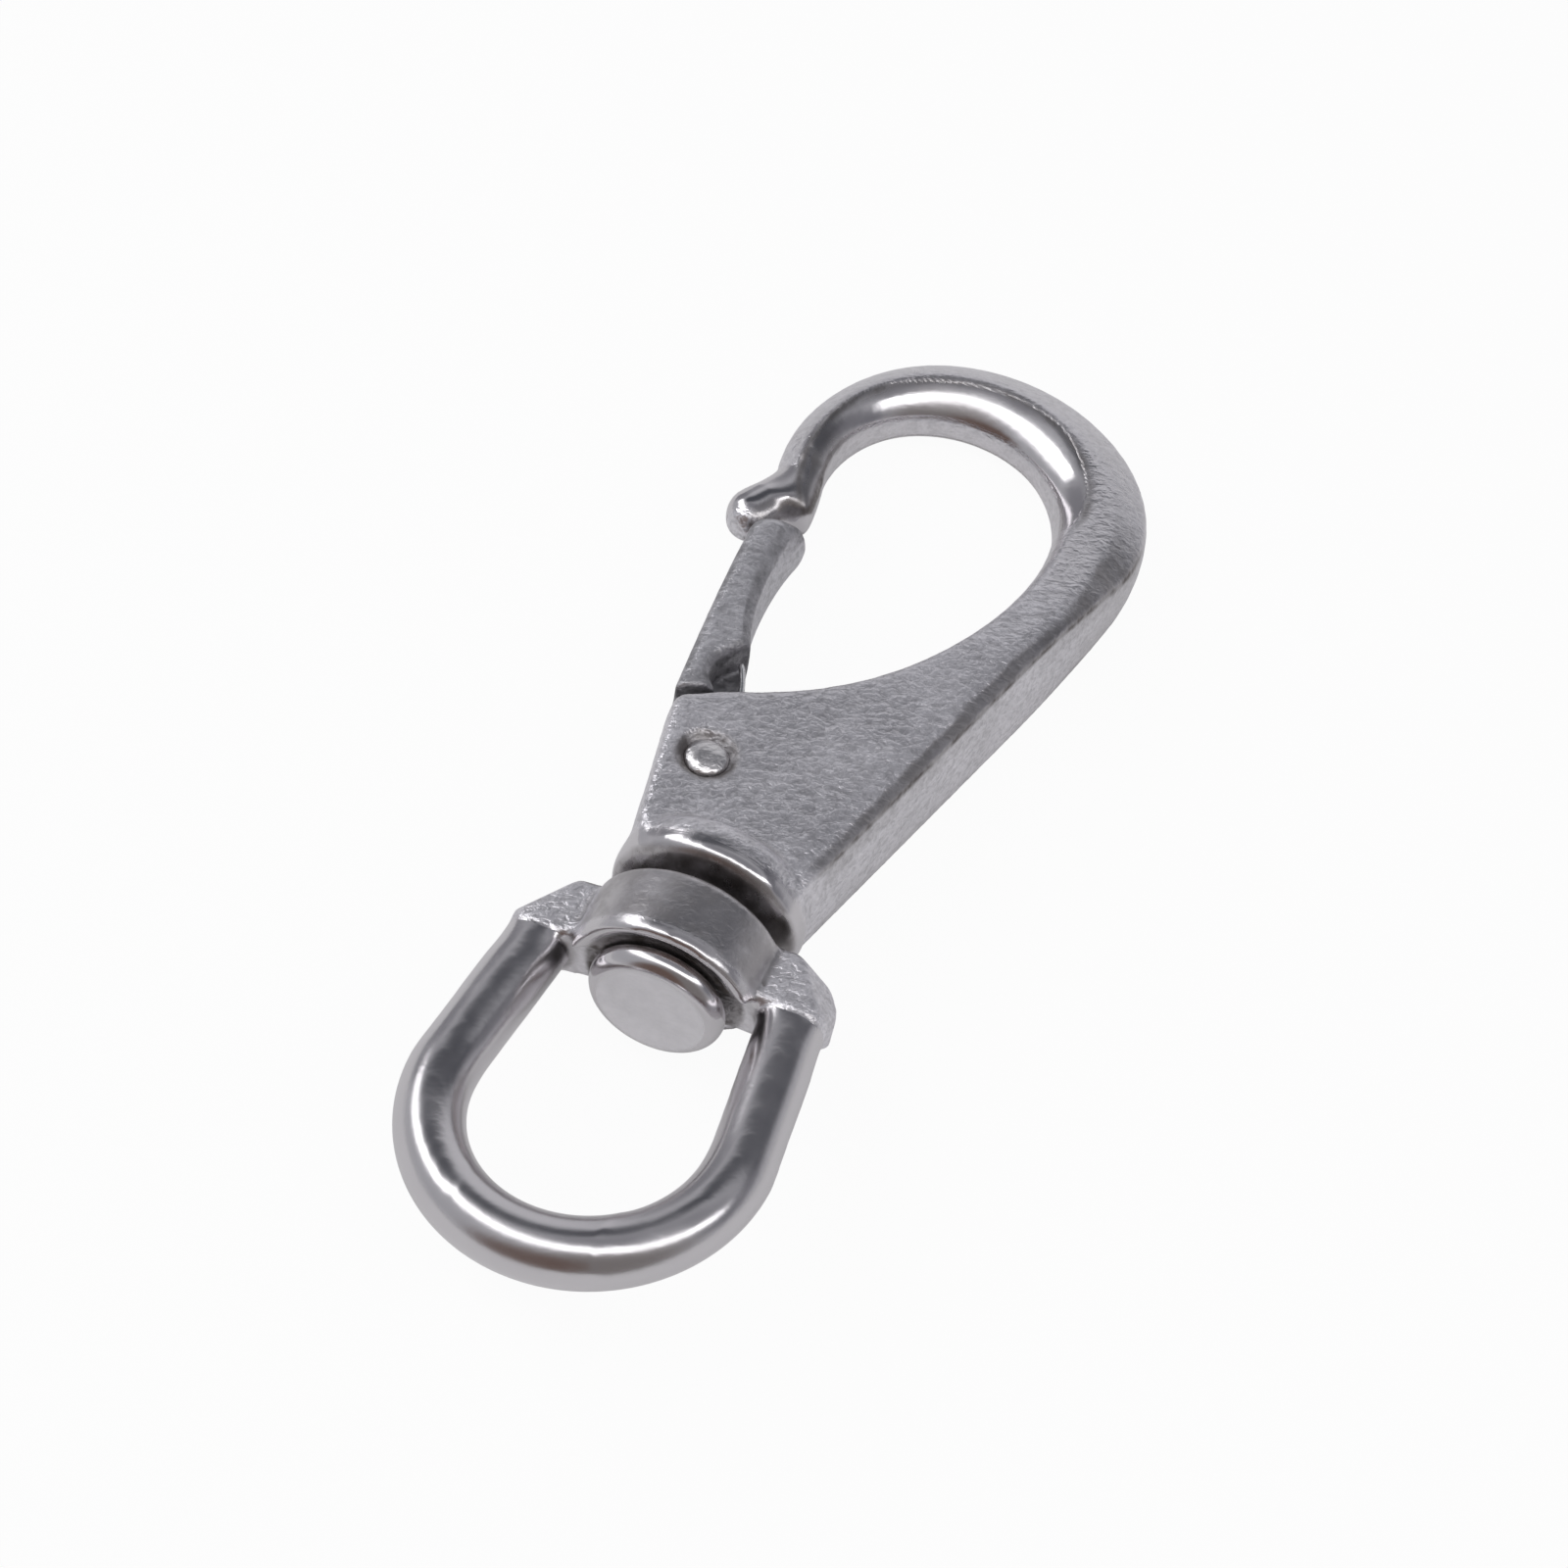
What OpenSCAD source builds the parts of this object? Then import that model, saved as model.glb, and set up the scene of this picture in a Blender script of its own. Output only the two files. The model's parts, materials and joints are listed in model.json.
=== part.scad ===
// Swivel snap hook, cast in stainless steel: a round-bar eye turns on a headed
// pin in the collar of a forked hook, and a sprung gate closes the hook's bow.
// Every piece is drawn in the hook's own frame: X along the swivel axis towards
// the bow, Y towards the gate, Z square to the hook, zero on the eye's bearing
// face. lie_down() then sets the whole on its collar and the bow's underside,
// with the origin at the centre of the eye.

/* [Eye] */
// Diameter of the round bar
eye_bar_d = 6; // [4.5:0.1:7]
// Clear width inside the eye
eye_clear_w = 20; // [18:0.5:26]
// Distance from the centre of the eye's bow to the bearing face
eye_reach = 20.5; // [18:0.5:26]
// Lean of each leg towards the hub
leg_lean = 6.4; // [4:0.1:8]
// Turn of the eye about the swivel axis
eye_turn = -6.6; // [-30:0.1:30]
// Half thickness of the cast shoulders beside the hub
shoulder_half = 2.8; // [2.2:0.1:3.2]
// Depth of the shoulders along the swivel axis
shoulder_depth = 5.6; // [4.5:0.1:6]
// Slant of the shoulders' outside edges
shoulder_slant = 34; // [28:1:40]

/* [Hub] */
// Outside diameter of the eye's hub
hub_d = 17.2; // [16:0.1:17.4]
// Length of the hub along the swivel axis
hub_len = 7.3; // [6.6:0.1:9]
// Width of the round lip at the hub's open end
hub_lip = 1.1; // [0.8:0.1:1.4]
// Depth of the recess that the pin's head sits in
hub_recess = 0.9; // [0.6:0.1:1.2]
// Length of the hub below the shoulders, where it is cut back
hub_under_len = 3; // [2:0.1:4]
// Chamfer on the hub's bearing edge
hub_chamfer = 0.5; // [0.2:0.1:0.8]

/* [Swivel pin] */
// Diameter of the shank
swivel_d = 7; // [6:0.1:8]
// Diameter of the head
head_d = 12.2; // [10:0.1:13]
// Thickness of the head
head_t = 1.95; // [1.7:0.05:3]
// Radius that rounds the head's outer edge
head_round = 1.6; // [0.8:0.05:1.65]
// Depth that the shank is pressed into the hook
swivel_seat = 6.5; // [5:0.1:7]

/* [Collar] */
// Diameter of the collar at the hook's base
collar_d = 17.5; // [17.2:0.1:19]
// Distance from the bearing face to the collar's face
collar_gap = 2.2; // [1.2:0.1:3]
// Radius that rounds the collar into the cheeks
collar_fall = 2.7; // [2.4:0.1:2.9]
// Radius that rounds the collar's rim
collar_round = 0.9; // [0.4:0.1:1.1]
// Diameter of the raised land that the hub bears on
land_d = 11.5; // [9.5:0.1:13]

/* [Cheeks] */
// Half thickness of the hook across its cheeks
cheek_half = 6; // [5.4:0.1:6.6]
// Distance from the bearing face to the end of the collar's rounding
cheek_start = 7; // [6.6:0.1:7.8]
// Half width of the cheeks where they leave the collar
cheek_half_w = 8.1; // [7.8:0.1:8.4]
// Outward lean of the gate side of the cheeks
ear_lean = 10.5; // [8:0.5:12]
// Distance from the bearing face to the top corner of the ears
ear_reach = 19.4; // [18.8:0.1:20]
// Radius that rounds the ears' top corner
ear_round = 1.4; // [0.8:0.1:2]
// Radius of the hollow edge between the ears and the bow
throat_r = 31.7; // [31:0.1:33]
// Distance that the hollow edge's centre lies behind the bow's
throat_shift = 3.4; // [2.8:0.1:4]

/* [Bow] */
// Distance from the bearing face to the centre of the bow
bow_x = 53.6; // [52:0.1:56]
// Offset of the bow's centre from the swivel axis
bow_y = -1.4; // [-2:0.1:-0.8]
// Inside radius of the bow
bow_r = 11; // [10.4:0.1:11.6]
// Width of the bar at the top of the bow
bow_w_top = 7.4; // [6.6:0.1:8]
// Width of the bar where the bow leaves the cheeks
bow_w_back = 7.6; // [6.4:0.1:8]
// Width of the bar above the nose
bow_w_nose = 4.6; // [4.4:0.1:5.6]
// Flattening of the bow's outside above the nose
bow_flat = 0.4; // [0:0.05:0.6]
// Half thickness of the bow
bow_half = 3.7; // [3.3:0.1:4.2]
// Bulge of each wall at the mould's parting line
draft = 0.3; // [0.1:0.05:0.35]

/* [Nose] */
// Distance from the bearing face to the middle of the knob
knob_x = 45.3; // [45:0.1:46]
// Distance of the knob from the swivel axis
knob_y = 13.7; // [13.5:0.1:14.2]
// Diameter of the knob that stops the gate
knob_d = 4.9; // [4.6:0.1:5.1]
// Half thickness of the nose behind the knob
nose_half = 3.2; // [2.8:0.1:3.5]

/* [Gate] */
// Distance from the bearing face to the gate's pin
pin_x = 13.8; // [13.5:0.1:14.3]
// Distance of the gate's pin from the swivel axis
pin_y = 5.2; // [4.6:0.1:5.4]
// Distance from the pin to the tip of the gate along the swivel axis
gate_reach = 30.4; // [30:0.1:30.6]
// Half thickness of the gate's blade
gate_half = 4.2; // [3.6:0.1:4.6]
// Half width of the slot between the ears
slot_half = 3; // [2.7:0.1:3.3]
// Radius of the gate's eye round its pin
gate_eye_r = 3.5; // [3.2:0.1:3.8]
// Radius, about the pin, at which the blade gets its full thickness
blade_start_r = 9; // [8.9:0.1:9.6]
// Width of the blade at its waist
waist_w = 3.4; // [3:0.1:4]
// Bulge of the blade's inner wall at its tip
tip_bulge = 1.1; // [0.4:0.1:1.3]
// Angle through which the gate opens
gate_open = 25; // [15:1:26]

/* [Gate pin] */
// Diameter of the gate's pin
pin_d = 3.2; // [2.8:0.1:3.5]
// Diameter of each domed head
pin_head_d = 3.9; // [3.7:0.1:4.6]
// Height of each domed head
pin_head_h = 0.9; // [0.7:0.05:1]
// Diameter of the sink round each head
sink_d = 5.2; // [5:0.1:5.6]
// Depth of the sink
sink_depth = 0.8; // [0.5:0.05:1]

/* [Gate spring] */
// Diameter of the spring wire
wire_d = 0.6; // [0.5:0.05:0.7]
// Mean diameter of the coil
coil_d = 4.6; // [4.3:0.1:5]
// Rise of the wire in one turn of the coil
coil_pitch = 0.66; // [0.6:0.02:0.72]

/* [Fits] */
// Gap between pieces that move past each other
move_gap = 0.25; // [0.2:0.05:0.3]
// Radial clearance of the swivel and of the gate on its pin
run_gap = 0.05; // [0.03:0.01:0.1]

/* [Hidden] */
$fn = 64;

eye_bar_r = eye_bar_d / 2;
eye_mid_r = (eye_clear_w + eye_bar_d) / 2;
hub_r = hub_d / 2;
collar_r = collar_d / 2;
swivel_r = swivel_d / 2;
land_x = move_gap;
face_x = collar_gap;
pin_r = pin_d / 2;

// The hook lies on its collar and on the underside of its bow.
lie_reach = bow_x + bow_r + bow_w_top / 2 - face_x - collar_round;
lie_tilt = atan((collar_r - bow_half) / lie_reach);

module lie_down() {
    rotate([0, lie_tilt, 0])
        translate([eye_reach, 0, 0])
            children();
}

// ---- Outlines of the hook, seen from above ----

function mix(a, b, t) = a + (b - a) * t;
function smooth(t) = let (c = max(0, min(1, t))) c * c * (3 - 2 * c);
function polar(c, r, a) = [c[0] + r * cos(a), c[1] + r * sin(a)];

// Inside of the bow, and the throat's hollow that runs into it without a corner.
bow_c = [bow_x, bow_y];
throat_drop = throat_r - bow_r;
throat_c = [bow_x - throat_shift, bow_y + sqrt(pow(throat_drop, 2) - pow(throat_shift, 2))];
join_a = atan2(bow_c[1] - throat_c[1], bow_c[0] - throat_c[0]);

// Outside of the bow: a circle that gives the bar its three widths.
outer_r = bow_r + (bow_w_back + bow_w_nose) / 2;
outer_c = [bow_x + bow_r + bow_w_top - outer_r, bow_y + (bow_w_nose - bow_w_back) / 2];

// Back of the hook: a straight edge from the collar, tangent to that circle.
back_start = [cheek_start - 0.3, -cheek_half_w + 0.2];
back_d = outer_c - back_start;
back_a = atan2(back_d[1], back_d[0]) - asin(outer_r / norm(back_d));
back_end = polar(outer_c, outer_r, back_a - 90);
root_x = face_x + collar_round;

function back_at(x) = [x, back_end[1] + (x - back_end[0]) * tan(back_a)];

// Gate side of the ears, their top corner and the angle where the throat starts.
function ear_y(x) = cheek_half_w + (x - cheek_start) * tan(ear_lean);
ear_c = [ear_reach - ear_round, ear_y(ear_reach - ear_round) - ear_round / cos(ear_lean)];
throat_a = atan2(ear_c[1] - throat_c[1], ear_reach - throat_c[0]) + 360;

// Pairs of points, inner then outer, that lie across the hook from collar to nose.
// Each row is [inner point, outer point, place along the hook].
n_root = 3;
n_corner = 5;
n_throat = 16;
n_bow = 34;
n_nose = 4;
nose_a = 108;
nose_out_a = 105;
nose_in = [knob_x + 0.9, knob_y - 5.1];
nose_out = [knob_x + 1.2, knob_y - 0.3];

rows_root = [for (i = [0 : n_root - 1]) let (t = i / n_root, x = mix(root_x, ear_c[0], t))
    [[x, ear_y(x)], back_at(mix(root_x, ear_c[0] + 2, t)), 0]];
rows_corner = [for (i = [0 : n_corner]) let (t = i / n_corner)
    [polar(ear_c, ear_round, mix(90 + ear_lean, 10, t)), back_at(mix(ear_c[0] + 2, ear_c[0] + 7, t)), 0]];
rows_throat = [for (i = [1 : n_throat]) let (t = i / (n_throat + 1))
    [polar(throat_c, throat_r, mix(throat_a, join_a + 360, t)),
     back_at(mix(ear_c[0] + 7, back_end[0], t)), t]];
function bow_outside(a) = polar(outer_c, outer_r - bow_flat * smooth((a - 25) / 50), a);
rows_bow = [for (i = [0 : n_bow]) let (t = i / n_bow)
    [polar(bow_c, bow_r, mix(join_a, nose_a, t)),
     bow_outside(mix(back_a - 90, nose_out_a, t)), 1 + t]];
rows_nose = [for (i = [1 : n_nose]) let (t = i / n_nose)
    [mix(polar(bow_c, bow_r, nose_a), nose_in, t),
     mix(bow_outside(nose_out_a), nose_out, t), 2]];
hook_rows = concat(rows_root, rows_corner, rows_throat, rows_bow, rows_nose);

// Height of the surface above the hook's mid plane, u across a bar of width w:
// flat at h, falling to each wall's edge (a inside, b outside) over widths p and q.
// The fall is a straight bevel where its power, e or f, is near 1.
bevel = 1.25;
function height(u, w, h, a, b, p, q, e, f) =
    h - (h - a) * pow(max(0, 1 - u / p), e) - (h - b) * pow(max(0, 1 - (w - u) / q), f);

// One closed ring of points across a bar, over the top and back underneath. Each
// wall bulges towards the parting line, by ba inside and by bb outside.
n_across = 12;
function ring(a, b, h, ha, hb, p, q, e, ba, bb) = let (
        w = norm(b - a),
        top = [for (i = [0 : n_across]) let (t = (1 - cos(180 * i / n_across)) / 2)
            [mix(a[0], b[0], t), mix(a[1], b[1], t), height(t * w, w, h, ha, hb, p, q, e, bevel)]])
    concat(top, [for (k = [0.5, 0, -0.5]) concat(mix(b, a, -bb / w * (1 - k * k)), hb * k)],
           [for (i = [n_across : -1 : 0]) [top[i][0], top[i][1], -top[i][2]]],
           [for (k = [-0.5, 0, 0.5]) concat(mix(a, b, -ba / w * (1 - k * k)), ha * k)]);

// A solid skinned over rings of equal length, closed at both ends.
module skin(rings) {
    m = len(rings[0]);
    n = len(rings);
    sides = [for (i = [0 : n - 2]) for (j = [0 : m - 1]) let (k = (j + 1) % m)
        each [[i * m + j, i * m + k, (i + 1) * m + k], [i * m + j, (i + 1) * m + k, (i + 1) * m + j]]];
    ends = [[for (j = [m - 1 : -1 : 0]) j], [for (j = [0 : m - 1]) (n - 1) * m + j]];
    polyhedron([for (r = rings) each r], concat(sides, ends), 10);
}

// The cheeks stay flat; along the throat they thin and round into the bow's bar,
// whose inner half is domed up to a crest.
dome_power = 1.6;
function hook_ring(row) = let (
        w = norm(row[1] - row[0]),
        t = smooth((row[2] - 0.5) / 0.8),
        dome = smooth((row[2] - 0.75) / 0.6),
        wall = smooth((row[2] - 0.9) / 0.5),
        nose = smooth((row[2] - 1.6) / 0.4),
        h = mix(mix(cheek_half, bow_half, t), nose_half, nose),
        inner = mix(mix(cheek_half - 0.35, 1.4, t), nose_half - 0.9, nose),
        outer = mix(h - 0.7, 1.3, wall))
    ring(row[0], row[1], h, inner, outer, mix(0.6, w * 0.5, dome), mix(2.4, w * 0.5, dome), dome_power,
         mix(1.9, 1, t) * draft, mix(1.9, 1, t) * draft);

module hook_shell() {
    skin([for (i = [len(hook_rows) - 1 : -1 : 0]) hook_ring(hook_rows[i])]);
}

// ---- Hook body ----

module collar() {
    rotate([0, 90, 0])
        rotate_extrude()
            union() {
                translate([0, land_x])
                    square([land_d / 2, cheek_start - land_x]);
                translate([0, face_x])
                    square([collar_r - collar_fall, cheek_start - face_x]);
                translate([0, face_x])
                    square([collar_r - collar_round, collar_fall]);
                translate([0, face_x + collar_round])
                    square([collar_r, cheek_start - collar_fall - face_x - collar_round]);
                translate([collar_r - collar_round, face_x + collar_round])
                    circle(collar_round);
                translate([collar_r - collar_fall, cheek_start - collar_fall])
                    circle(collar_fall);
            }
}

module nose_end() {
    hull() {
        translate([knob_x, knob_y, 0])
            sphere(d = knob_d, $fn = 32);
        translate([knob_x + 3.4, knob_y - 2, 0])
            sphere(r = nose_half - 0.5, $fn = 32);
    }
}

// The slot clears the gate's eye all round, and its wall lies along the gate
// when the gate is open.
slot_clear = 1;
wall_clear = 0.6;

module gate_slot() {
    translate([pin_x, pin_y, -slot_half])
        linear_extrude(2 * slot_half)
            union() {
                circle(gate_eye_r + slot_clear);
                rotate(-gate_open)
                    translate([0, -gate_eye_r - wall_clear])
                        square([ear_reach, 2 * ear_reach]);
                translate([-gate_eye_r - slot_clear, 0])
                    square([ear_reach, ear_reach]);
            }
}

module pin_sinks() {
    for (side = [-1, 1])
        translate([pin_x, pin_y, side * cheek_half])
            rotate([side > 0 ? 180 : 0, 0, 0])
                cylinder(d1 = sink_d, d2 = pin_head_d, h = sink_depth);
}

module hook_body() {
    color([0.60, 0.59, 0.61])
        difference() {
            union() {
                hook_shell();
                collar();
                nose_end();
            }
            gate_slot();
            pin_sinks();
            translate([pin_x, pin_y, -cheek_half - 1])
                cylinder(r = pin_r, h = 2 * cheek_half + 2);
            rotate([0, 90, 0])
                translate([0, 0, -1])
                    cylinder(r = swivel_r, h = swivel_seat + 1);
        }
}

// ---- Swivel pin, pressed into the hook ----

head_x = -(hub_len - hub_recess) - move_gap;

module swivel_pin() {
    color([0.72, 0.71, 0.73])
        rotate([0, 90, 0])
            union() {
                translate([0, 0, head_x])
                    cylinder(r = swivel_r, h = swivel_seat - head_x);
                rotate_extrude()
                    union() {
                        translate([0, head_x - head_t])
                            square([head_d / 2 - head_round, head_t]);
                        translate([0, head_x - head_t + head_round])
                            square([head_d / 2, head_t - head_round]);
                        intersection() {
                            translate([head_d / 2 - head_round, head_x - head_t + head_round])
                                circle(head_round);
                            translate([0, head_x - head_t])
                                square([head_d, head_round]);
                        }
                    }
            }
}

// ---- Swivel eye ----

leg_c = [-eye_reach + eye_mid_r * sin(leg_lean), eye_mid_r * cos(leg_lean)];
leg_end_x = -shoulder_depth - 0.3;
leg_len = (leg_end_x - leg_c[0]) / cos(leg_lean);
leg_end_y = leg_c[1] - leg_len * sin(leg_lean);

// Each leg starts inside the end of the bow, a hair slimmer than it.
leg_ease = 0.04;
leg_lap = 0.8;

module eye_bow() {
    translate([-eye_reach, 0, 0])
        rotate([0, 0, 90 - leg_lean])
            rotate_extrude(angle = 180 + 2 * leg_lean)
                translate([eye_mid_r, 0])
                    circle(eye_bar_r);
    for (side = [-1, 1])
        translate([leg_c[0], side * leg_c[1], 0])
            rotate([0, 0, -side * leg_lean])
                rotate([0, 90, 0])
                    rotate_extrude()
                        union() {
                            translate([0, -leg_lap])
                                square([eye_bar_r - leg_ease, leg_len + leg_lap]);
                            intersection() {
                                translate([0, leg_len])
                                    circle(eye_bar_r - leg_ease);
                                square([eye_bar_r, leg_len + eye_bar_r]);
                            }
                        }
}

// Half of the widest outline of the plate that joins the legs to the hub.
s_out = leg_end_y + eye_bar_r;
s_in = leg_end_y - eye_bar_r;
shoulder_edge = [
    [0, s_out - 1.4],
    [-0.8, s_out - 0.9],
    [-2, s_out - 0.3],
    [-3.4, s_out - 0.08],
    [-shoulder_depth + 0.7, s_out - 0.1],
    [-shoulder_depth, s_out - 1.2],
    [leg_end_x - 0.05, leg_end_y - 0.5],
    [leg_end_x - 0.05, s_in + 0.9],
    [-shoulder_depth, s_in - 0.9]];

// Slanted planes take off the plate's outside edges, so that it is widest a
// little below the middle.
rim_x_turn = 55;
rim_step = 1.3;
rim_sink = 0.8;

module shoulders() {
    wide = 40;
    difference() {
        linear_extrude(2 * shoulder_half, center = true)
            polygon(concat(shoulder_edge,
                           [for (i = [len(shoulder_edge) - 1 : -1 : 0])
                               [shoulder_edge[i][0], -shoulder_edge[i][1]]]));
        for (side = [-1, 1], face = [-1, 1])
            translate([0, side * (hub_r + rim_step), face * (shoulder_half + rim_sink) - rim_sink])
                rotate([0, -face * shoulder_slant, side * rim_x_turn])
                    translate([0, -wide / 2, -wide / 2])
                        cube([wide, wide, wide]);
    }
}

module hub_barrel(length) {
    rotate([0, 90, 0])
        rotate_extrude()
            union() {
                polygon([[0, 0], [hub_r - hub_chamfer, 0], [hub_r, -hub_chamfer],
                         [hub_r, -length + hub_lip / 2], [0, -length + hub_lip / 2]]);
                translate([hub_r - hub_lip / 2, -length + hub_lip / 2])
                    circle(hub_lip / 2);
            }
}

// The hub stands in front of the shoulders above them, and is cut back below.
module hub() {
    bite = 0.4;
    difference() {
        hub_barrel(hub_len);
        translate([-hub_len - 1, -hub_r - 1, -hub_r - 1])
            cube([hub_len + 1 - shoulder_depth + bite, hub_d + 2, hub_r + 1 + shoulder_half - bite]);
        translate([-hub_len - 1, -hub_r - 1, -hub_r - 1])
            cube([hub_len + 1 - hub_under_len, hub_d + 2, hub_r + 1 - shoulder_half + bite]);
    }
}

module swivel_eye() {
    color([0.66, 0.65, 0.67])
        rotate([eye_turn, 0, 0])
            difference() {
                union() {
                    eye_bow();
                    shoulders();
                    hub();
                }
                rotate([0, -90, 0]) {
                    translate([0, 0, hub_len - hub_recess])
                        cylinder(r = hub_r - hub_lip, h = hub_recess + 1);
                    translate([0, 0, -1])
                        cylinder(r = swivel_r + run_gap, h = hub_len + 2);
                }
            }
}

// ---- Gate ----

tongue_half = slot_half - move_gap;
tongue_top = 0.6;
tip_x = pin_x + gate_reach;
root = [pin_x + blade_start_r * cos(38), pin_y + blade_start_r * sin(38)];
notch = [pin_x + 0.48 * gate_reach, pin_y + 1.9];

// Outside edge of the blade, nearly straight and turned in a little at the tip.
function gate_out(x) = let (run = x - root[0])
    [x, root[1] + 0.3 + run * tan(5.2) - 0.7 * pow(run / (tip_x - root[0]), 3)];

// Inside edge of the blade: a waist between the notch and the flared tip.
function gate_in(t) = [mix(notch[0], tip_x - 1.5, t),
                       gate_out(mix(notch[0], tip_x - 1.5, t))[1]
                       - waist_w - 1.3 * pow(1 - t, 4) - 0.35 * pow(t, 6)];

n_notch = 4;
n_blade = 14;
n_tip = 7;
notch_rows = [for (i = [0 : n_notch - 1]) let (t = i / n_notch)
    [[mix(pin_x + blade_start_r * cos(17), notch[0], t),
      mix(pin_y + blade_start_r * sin(17), notch[1], t) + 1.6 * sin(180 * pow(t, 0.8))],
     gate_out(mix(root[0], notch[0] - 0.4, t)), 0]];
blade_rows = [for (i = [0 : n_blade]) let (t = i / n_blade)
    [gate_in(t), gate_out(mix(notch[0] - 0.4, tip_x - 3.3, t)), t]];

function blade_ring(row) = ring(row[0], row[1], gate_half, gate_half - 0.9, gate_half - 0.5,
                                mix(0.9, 1.9, row[2]), 0.9, bevel,
                                mix(draft / 2, tip_bulge, pow(row[2], 2)), 0);

// The tip rounds down to the parting line, further back outside, clear of the knob.
function tip_ring(a) = let (
        last = blade_rows[n_blade],
        h = mix(0.5, gate_half, cos(a)))
    ring(last[0] + [1.5 * sin(a), -0.3 * sin(a)],
         last[1] + [3 * sin(a), -0.2 * sin(a) - 1.3 * (1 - cos(a))],
         h, h * 0.8, h * 0.88, 1.9, 0.9, bevel, tip_bulge * cos(a), 0);

module blade() {
    skin(concat([for (row = notch_rows) blade_ring(row)],
                [for (row = blade_rows) blade_ring(row)],
                [for (i = [1 : n_tip]) tip_ring(90 * i / n_tip)]));
}

module tongue() {
    translate([0, 0, -tongue_half])
        linear_extrude(tongue_half + tongue_top)
            union() {
                translate([pin_x, pin_y])
                    circle(gate_eye_r);
                polygon([[pin_x - 0.3, pin_y + gate_eye_r - 0.05], root + [0.5, -0.9],
                         notch + [1.2, 2.4], notch - [0.5, 0.2], [pin_x + 9.9, pin_y],
                         [pin_x + 0.9, pin_y - gate_eye_r + 0.15]]);
            }
}

module gate() {
    color([0.62, 0.61, 0.63])
        difference() {
            union() {
                blade();
                tongue();
            }
            translate([pin_x, pin_y, -gate_half])
                cylinder(r = pin_r + run_gap, h = 2 * gate_half);
        }
}

// ---- Gate pin, riveted over in both ears ----

module gate_pin() {
    base = cheek_half - sink_depth;
    dome_r = (pow(pin_head_d / 2, 2) + pow(pin_head_h, 2)) / (2 * pin_head_h);
    color([0.76, 0.75, 0.76])
        translate([pin_x, pin_y, 0])
            union() {
                translate([0, 0, -base - pin_head_h / 2])
                    cylinder(r = pin_r, h = 2 * base + pin_head_h);
                for (side = [0, 1])
                    mirror([0, 0, side])
                        rotate_extrude()
                            intersection() {
                                translate([0, base + pin_head_h - dome_r])
                                    circle(dome_r);
                                translate([0, base])
                                    square([pin_head_d / 2, pin_head_h]);
                            }
            }
}

// ---- Gate spring: a coil round the pin, on the gate's tongue ----

coil_r = coil_d / 2;
coil_z = tongue_top + 0.15 + wire_d / 2;
leg_a_end = [notch[0] - 2, notch[1] - 0.5];
hold_a = -gate_open;
wall_at = gate_eye_r + wall_clear - wire_d / 2 - 0.1;
leg_b_end = [pin_x + 6 * cos(hold_a) + wall_at * sin(hold_a),
             pin_y + 6 * sin(hold_a) - wall_at * cos(hold_a)];

function tangent_at(p, side) = let (d = p - [pin_x, pin_y])
    atan2(d[1], d[0]) + side * acos(coil_r / norm(d));

coil_from = tangent_at(leg_b_end, 1);
coil_to = tangent_at(leg_a_end, -1) + 2 * 360;
n_coil = 44;

wire_path = concat(
    [concat(leg_b_end, coil_z)],
    [for (i = [0 : n_coil]) let (a = mix(coil_from, coil_to, i / n_coil))
        concat(polar([pin_x, pin_y], coil_r, a), coil_z + coil_pitch * (a - coil_from) / 360)],
    [concat(leg_a_end, coil_z + coil_pitch * (coil_to - coil_from) / 360),
     concat(leg_a_end + [0.7, 0.75], coil_z + coil_pitch * (coil_to - coil_from) / 360)]);

// A round section across the wire, square to the way it runs at point i.
function wire_ring(i) = let (
        n = len(wire_path) - 1,
        d = wire_path[min(n, i + 1)] - wire_path[max(0, i - 1)],
        u = [d[1], -d[0], 0] / norm([d[0], d[1]]))
    [for (k = [0 : 9]) wire_path[i] + wire_d / 2 * (cos(36 * k) * u + [0, 0, sin(36 * k)])];

module gate_spring() {
    color([0.80, 0.79, 0.78])
        skin([for (i = [0 : len(wire_path) - 1]) wire_ring(i)]);
}

lie_down() hook_body();
lie_down() swivel_pin();
lie_down() swivel_eye();
lie_down() gate();
lie_down() gate_pin();
lie_down() gate_spring();
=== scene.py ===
"""Swivel snap hook: cast hook body, swivel eye, sprung gate, their pins, and the stage."""

import json
import math

import bmesh
import bpy
import numpy as np
from bpy.props import FloatProperty, FloatVectorProperty, IntProperty, PointerProperty
from mathutils import Matrix, Vector


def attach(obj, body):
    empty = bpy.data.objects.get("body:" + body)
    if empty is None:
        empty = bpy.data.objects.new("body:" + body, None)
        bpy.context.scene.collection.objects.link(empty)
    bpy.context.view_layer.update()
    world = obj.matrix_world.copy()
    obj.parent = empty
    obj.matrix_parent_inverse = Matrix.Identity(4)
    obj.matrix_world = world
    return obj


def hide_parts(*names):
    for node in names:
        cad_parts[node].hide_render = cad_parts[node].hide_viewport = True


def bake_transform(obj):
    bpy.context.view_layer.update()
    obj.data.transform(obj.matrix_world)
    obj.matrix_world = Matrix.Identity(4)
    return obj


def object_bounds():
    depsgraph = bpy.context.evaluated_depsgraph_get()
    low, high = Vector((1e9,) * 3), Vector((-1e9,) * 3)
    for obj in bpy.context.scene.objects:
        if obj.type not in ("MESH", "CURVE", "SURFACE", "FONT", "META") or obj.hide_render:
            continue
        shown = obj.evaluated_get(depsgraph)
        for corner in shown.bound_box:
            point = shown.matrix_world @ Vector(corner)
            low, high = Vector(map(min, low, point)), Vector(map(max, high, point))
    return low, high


bl_info = {
    "name": "Swivel snap hook",
    "version": (1, 0, 0),
    "blender": (4, 5, 0),
    "location": "View3D > Sidebar > Snap hook",
    "description": "Builds the dressed pieces of a swivel snap hook on its packed frame",
    "category": "Object",
}

MM = 0.001

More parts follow.
